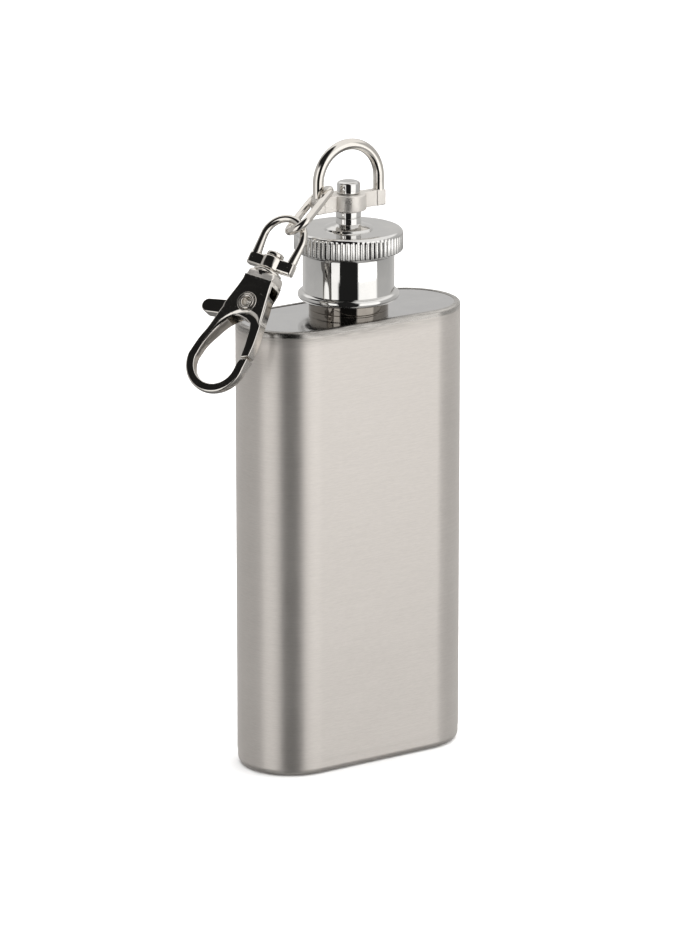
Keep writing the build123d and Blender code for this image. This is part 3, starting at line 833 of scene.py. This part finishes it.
def tip(x, radius):
    """The point at x on a circle about the gate's pivot, on the hook's side."""
    return Vector((x, pivot_xy[1] - sqrt(radius ** 2 - (x - pivot_xy[0]) ** 2)))


def right_edge(y):
    """Where the clasp's straight right side stands."""
    return 2.7 + 0.141 * (FACE_TOP - y)


def body_half(y):
    """The body's half thickness falls evenly from the swivel to the end of the hook."""
    return TOP_HALF + (END_HALF - TOP_HALF) * max(0, min(1, (FACE_TOP - y) / (FACE_TOP - FACE_END)))


SHARP_CORNERS = [Vector(corner) for corner in ((3.87, -21.5), (-2.9, FACE_TOP), (2.7, FACE_TOP))]


def kept_small(p, radius):
    """Edge rounds shrink towards sharp corners and at the hook's tip, so that they never cross."""
    nearest = min((p - corner).length for corner in SHARP_CORNERS)
    at_tip = p.x > 2.5 and -28.9 < p.y < -25.0
    return min(radius, 0.05 + 0.4 * nearest, 0.2 if at_tip else radius)


def front_round(p):
    """A broad soft bevel under the arch, and a smaller one elsewhere."""
    beside = smooth((p.y + 25.5) / 2.5) * smooth((p.x + 6.0) / 1.5) * smooth((-19.7 - p.y) / 0.3)
    on_bow = smooth((-24.5 - p.y) / 2)
    return kept_small(p, 0.42 + 0.33 * beside - 0.14 * on_bow)


def back_round(p):
    """A small bevel at the back, larger round the bow."""
    return kept_small(p, 0.3 + 0.35 * smooth((-24.5 - p.y) / 3))


def back_draw(p):
    """The back cheek stands in a little from the right side, behind the gate."""
    return 0.6 * smooth((-14.5 - p.y) / 2.5) * smooth(p.x / 2.5) * (1 if p.y > -23 else 0)


outline = curve_points(
    [
        (-2.9, FACE_TOP), (-3.5, -15.6), (-4.28, -18.1), (-5.1, -21.1), (-5.72, -24.0),
        (-6.72, -27.2), (-7.35, -29.95),
    ], 8,
)[:-1]
outline += arc(HOOK_C, HOOK_OUT, 180, 360, 72)
ease = Vector((0, 0.15))
outline += [Vector((4.12, -28.9)), tip(4.2, HOOK_TIP) - ease, tip(4.06, HOOK_TIP)]
outline += [tip(3.0, HOOK_TIP), tip(2.84, HOOK_TIP) - ease, Vector((2.6, -28.9))]
outline += arc(HOOK_C, HOOK_IN, 360, 180, 60)
outline += curve_points(
    [
        (-5.75, -29.95), (-5.35, -27.6), (-4.45, -25.1), (-3.45, -23.1), (-2.45, -21.8), (-0.66, -20.4),
        (0.9, -20.05), (2.54, -20.5), (3.87, -21.5),
    ], 10,
)[1:]
outline += [Vector((right_edge(y), y)) for y in (-20.6, -19.4, -18.2, -17.0, -15.8, -14.6, FACE_TOP)]
HOOK_LOOKS = [nickel_face, nickel, nickel_cast]
hook = slab(
    "clasp_hook_body", outline, face, body_half, front_round, back_round, HOOK_LOOKS, draw=back_draw
)
THROAT_R, THROAT_TOP, RING_R, RING_TOP = 2.2, -11.75, 2.6, -11.25
edgewise = Axes(clasp_top, face.z, -face.x)
SHOULDER_TOP, SHOULDER_LOW, SHOULDER_HALF, SHOULDER_ROUND = -11.6, -13.45, 2.68, 1.75
shoulder_outline = rounded(
    [
        (2.17, SHOULDER_LOW), (2.19, SHOULDER_TOP, SHOULDER_ROUND),
        (-2.19, SHOULDER_TOP, SHOULDER_ROUND), (-2.17, SHOULDER_LOW),
    ], steps=12,
)
shoulder = slab(
    "shoulder", shoulder_outline, edgewise, lambda y: SHOULDER_HALF, lambda p: 0.4, lambda p: 0.4, HOOK_LOOKS
)
for polygon in shoulder.data.polygons:
    polygon.material_index = 2
combine(
    hook,
    [
        shoulder,
        turned(
            "throat",
            [
                (0.3, -12.6), (THROAT_R, -12.6), (THROAT_R, THROAT_TOP), (RING_R, THROAT_TOP, 0.2),
                (RING_R, RING_TOP, 0.2), (0.3, RING_TOP),
            ],
            HOOK_LOOKS, stem, 96,
        ),
    ],
    "UNION",
)


def prism(name, outline, axes, low, high, materials):
    """A straight cut with a flat outline."""
    count = len(outline)
    verts = [axes.at(x, y, low) for x, y in outline] + [axes.at(x, y, high) for x, y in outline]
    faces = [tuple(range(count)), tuple(range(2 * count - 1, count - 1, -1))]
    faces += [(i, (i + 1) % count, count + (i + 1) % count, count + i) for i in range(count)]
    return mesh_object(name, verts, faces, materials)


def bore(name, radius, low, high, axes):
    """A round hole's cutter."""
    return turned(name, [(AXIS, low), (radius, low), (radius, high), (AXIS, high)], [nickel], axes, 80)


SEAT, FLANGE = 1.84, 1.85
# the channel between the cheeks opens to the right, and to the left below its upper slot
FAR, SLOT_TOP, SLOT_LEFT, CHANNEL_TOP, CHANNEL_LOW = 9, -16.2, -2.9, -13.9, -22.1
combine(
    hook,
    [
        prism(
            "channel",
            [
                (-FAR, SLOT_TOP), (SLOT_LEFT, SLOT_TOP), (SLOT_LEFT, CHANNEL_TOP), (FAR, CHANNEL_TOP),
                (FAR, CHANNEL_LOW), (-FAR, CHANNEL_LOW),
            ],
            face, -CHANNEL, CHANNEL, [nickel],
        ),
        bore("rivet_hole", 1.21, -5, 5, pivot),
        bore("seat_front", FLANGE + 0.01, SEAT, 5, pivot),
        bore("seat_back", FLANGE + 0.01, -5, -SEAT, pivot),
    ],
    "DIFFERENCE",
)
FALL = (TOP_HALF - END_HALF) / (FACE_TOP - FACE_END)
hook_flats = [(face.z * side - face.y * FALL).normalized() for side in (1, -1)]
settle(hook, "clasp", "clasp_hook", hook_flats)

RISE = SEAT + 0.42
half_eyelet = [
    (1.2, SEAT), (FLANGE, SEAT), (FLANGE, SEAT + 0.26, 0.2), (1.48, SEAT + 0.26, 0.15), (1.44, SEAT + 0.06),
    (1.38, SEAT + 0.06), (1.36, RISE, 0.22), (0.9, RISE, 0.22),
]
eyelet = turned(
    "gate_eyelet", half_eyelet + [(r, -h, *rest) for r, h, *rest in half_eyelet[::-1]], [nickel], pivot, 96
)
settle(eyelet, "clasp", "clasp_eyelet")

# ---------------------------------------------------------------- gate
GATE_HALF = 1.25
tab_root, tab_end, tab_half = Vector((-0.6, -19.05)), Vector((-7.65, -20.6)), 1.3
tab_run = (tab_end - tab_root).normalized()
tab_low = Vector((-tab_run.y, tab_run.x)) * tab_half
tab_angle = degrees(atan2(tab_run.y, tab_run.x))
outline = [Vector((2.97, -16.5)), Vector((2.88, -15.95)), Vector((2.65, -15.62)), Vector((2.2, -15.5))]
outline += arc(pivot_xy, 2.45, 75, 135, 12)
outline += [tab_root - tab_low + tab_run * 3.0]
outline += arc(tab_end, tab_half, tab_angle - 90, tab_angle + 90, 24)
outline += [
    Vector(p)
    for p in ((-2.2, -21.0), (-0.9, -20.75), (0.6, -20.95), (1.7, -21.5), (2.1, -22.6), (2.6, -25.6))
]
outline += [tip(2.75, GATE_TIP) + Vector((0, 0.2)), tip(2.9, GATE_TIP), tip(4.0, GATE_TIP)]
outline += [tip(4.18, GATE_TIP) + Vector((0, 0.2))]
outline += [Vector((4.2, -25.4)), Vector((4.12, -24.2)), Vector((3.97, -23.0))]
outline += [Vector((right_edge(y) - 0.08, y)) for y in (-22.0, -20.8, -19.4, -18.0)]
lever = slab(
    "gate_lever_body", outline, face, lambda y: GATE_HALF, lambda p: 0.2, lambda p: 0.2, [nickel_face]
)
combine(
    lever, [bore("hub_hole", 1.26, -3, 3, pivot), bore("spring_pocket", 1.85, -3, 0.05, pivot)], "DIFFERENCE"
)
settle(lever, "gate", "gate_lever", [face.z, -face.z])

# ---------------------------------------------------------------- CAD nodes that stay
for node, mat in (
    ("top_plate", plate_steel),
    ("cap_insert", black_plastic),
    ("cap_seal", seal_rubber),
    ("rivet_washer", chrome),
    ("gate_spring", spring_steel),
):
    for material_slot in frame["nodes"][node].material_slots:
        material_slot.material = mat

# ---------------------------------------------------------------- floor, light, camera
# the camera's azimuth and elevation in degrees, and in millimetres its distance and the height it aims at
CAMERA_TURN, CAMERA_RISE, CAMERA_AWAY, AIM_HEIGHT = -34.3, 16.0, 1051.0, 50.0
FOCAL, SENSOR, SHIFT_X, SHIFT_Y = 222.6, 36.0, 0.0016, 0.0207
WARM_WHITE, AMBIENT = (1, 0.985, 0.965, 1), 0.015
# the reflected cards stand between these heights, in metres
CARD_LOW, CARD_HIGH = -0.102, -0.016

floor_mesh = bpy.data.meshes.new("floor")
reach = 30.0
floor_mesh.from_pydata(
    [(-reach, -reach, 0), (reach, -reach, 0), (reach, reach, 0), (-reach, reach, 0)], [], [(0, 1, 2, 3)]
)
floor = bpy.data.objects.new("floor", floor_mesh)
bpy.context.scene.collection.objects.link(floor)
floor.location.z = -0.00002
floor_mat, tree, shader = new_material("floor_paper")
shader.inputs["Base Color"].default_value = (0.93, 0.93, 0.93, 1)
shader.inputs["Roughness"].default_value = 0.9
shader.inputs["Specular IOR Level"].default_value = 0.1
floor_mesh.materials.append(floor_mat)
floor.visible_glossy = False


def band(tree, value, low, high, soft):
    """1 between low and high, falling to 0 over the soft margin outside them."""
    rise = remap(tree, value, low - soft, low + soft, 0, 1)
    fall = remap(tree, value, high - soft, high + soft, 1, 0)
    return math_node(tree, "MULTIPLY", rise, fall)


world = bpy.data.worlds.new("studio")
bpy.context.scene.world = world
world.use_nodes = True
tree = world.node_tree
tree.nodes.clear()
out = tree.nodes.new("ShaderNodeOutputWorld")
back = tree.nodes.new("ShaderNodeBackground")
link(tree, back.outputs[0], out.inputs[0])
direction = tree.nodes.new("ShaderNodeTexCoord").outputs["Generated"]
turned_dir = tree.nodes.new("ShaderNodeVectorRotate")
turned_dir.rotation_type = "Z_AXIS"
turned_dir.inputs["Angle"].default_value = -radians(CAMERA_TURN)
link(tree, direction, turned_dir.inputs["Vector"])
split_dir = tree.nodes.new("ShaderNodeSeparateXYZ")
link(tree, turned_dir.outputs["Vector"], split_dir.inputs["Vector"])
# azimuth 0 is towards the front of the scene, positive to the right
azimuth = math_node(
    tree, "ARCTAN2", split_dir.outputs["X"], math_node(tree, "MULTIPLY", split_dir.outputs["Y"], -1.0)
)
rise = math_node(tree, "ARCSINE", split_dir.outputs["Z"])
deg = radians(1)
dark_front = band(tree, azimuth, -25 * deg, 24 * deg, 2 * deg)
right_box = band(tree, azimuth, 25 * deg, 76 * deg, 2.5 * deg)
left_box = band(tree, azimuth, -62 * deg, -26 * deg, 2.5 * deg)
back_box = band(tree, azimuth, 138 * deg, 200 * deg, 14 * deg)
back_box = math_node(tree, "ADD", back_box, band(tree, azimuth, -200 * deg, -140 * deg, 8 * deg))
left_half = band(tree, azimuth, -118 * deg, 25 * deg, 10 * deg)
low_part = remap(tree, rise, 24 * deg, 32 * deg, 1.0, 0.0)


def scaled(value, amount):
    """The value times a number."""
    return math_node(tree, "MULTIPLY", value, amount)


def summed(*values):
    """The values added up."""
    total = values[0]
    for value in values[1:]:
        total = math_node(tree, "ADD", total, value)
    return total


boxes = math_node(tree, "MINIMUM", summed(dark_front, right_box, left_box, back_box), 1.0)
rest = math_node(tree, "SUBTRACT", 1.0, boxes)
level = summed(scaled(right_box, 1.3), scaled(left_box, 1.2), scaled(back_box, 0.6), scaled(rest, 0.5))
level = math_node(tree, "MULTIPLY", level, low_part)
level = math_node(tree, "MULTIPLY", level, remap(tree, rise, -40 * deg, -14 * deg, 0.3, 1.0))
high_part = math_node(tree, "SUBTRACT", 1.0, low_part)
not_left = math_node(tree, "SUBTRACT", 1.0, left_half)
level = summed(level, math_node(tree, "MULTIPLY", high_part, not_left), AMBIENT)
link(tree, level, back.inputs["Strength"])
back.inputs["Color"].default_value = WARM_WHITE


def light_card(name, start, end, low, high, level_low, level_high, away=0.35):
    """A curved card round the flask that only its reflections see, brighter towards its top edge."""
    mesh = bpy.data.meshes.new(name)
    steps = 24
    verts = []
    for k in range(steps + 1):
        a = radians(CAMERA_TURN + start + (end - start) * k / steps)
        verts += [(away * sin(a), -away * cos(a), low), (away * sin(a), -away * cos(a), high)]
    mesh.from_pydata(verts, [], [(2 * k, 2 * k + 2, 2 * k + 3, 2 * k + 1) for k in range(steps)])
    mat = bpy.data.materials.new(name)
    mat.use_nodes = True
    tree = mat.node_tree
    tree.nodes.clear()
    glow = tree.nodes.new("ShaderNodeEmission")
    glow.inputs["Color"].default_value = WARM_WHITE
    place = tree.nodes.new("ShaderNodeNewGeometry").outputs["Position"]
    parts = tree.nodes.new("ShaderNodeSeparateXYZ")
    link(tree, place, parts.inputs["Vector"])
    link(tree, remap(tree, parts.outputs["Z"], low, high, level_low, level_high), glow.inputs["Strength"])
    out = tree.nodes.new("ShaderNodeOutputMaterial")
    link(tree, glow.outputs[0], out.inputs["Surface"])
    mesh.materials.append(mat)
    obj = bpy.data.objects.new(name, mesh)
    bpy.context.scene.collection.objects.link(obj)
    obj.visible_camera = False
    obj.visible_diffuse = False
    obj.visible_shadow = False


light_card("card_right", 25, 76, CARD_LOW, CARD_HIGH, 0.42, 2.1)
light_card("card_left", -62, -22, CARD_LOW, CARD_HIGH, 1.05, 1.2)


def area_light(name, place, size, power):
    """A soft rectangular light aimed at the flask's middle."""
    lamp = bpy.data.lights.new(name, "AREA")
    lamp.shape = "RECTANGLE"
    lamp.size, lamp.size_y = size
    lamp.energy = power
    obj = bpy.data.objects.new(name, lamp)
    bpy.context.scene.collection.objects.link(obj)
    obj.location = place
    aim = Vector((0, 0, 0.05)) - Vector(place)
    obj.rotation_mode = "QUATERNION"
    obj.rotation_quaternion = aim.to_track_quat("-Z", "Y")
    obj.visible_glossy = False


area_light("overhead", (0.0, 0.1, 1.2), (1.8, 1.8), 26.0)
area_light("fill_right", (0.8, -0.5, 0.6), (0.8, 0.8), 4.0)

turn, lift = radians(CAMERA_TURN), radians(CAMERA_RISE)
towards = Vector((sin(turn) * cos(lift), -cos(turn) * cos(lift), sin(lift)))
lens = bpy.data.cameras.new("camera")
lens.sensor_width = SENSOR
lens.lens = FOCAL
lens.shift_x = SHIFT_X
lens.shift_y = SHIFT_Y
lens.clip_start, lens.clip_end = 0.05, 60.0
camera = bpy.data.objects.new("camera", lens)
bpy.context.scene.collection.objects.link(camera)
camera.location = (Vector((0, 0, AIM_HEIGHT)) + towards * CAMERA_AWAY) * MM
camera.rotation_mode = "QUATERNION"
camera.rotation_quaternion = (-towards).to_track_quat("-Z", "Y")
bpy.context.scene.camera = camera
bpy.context.scene.view_settings.view_transform = "Standard"
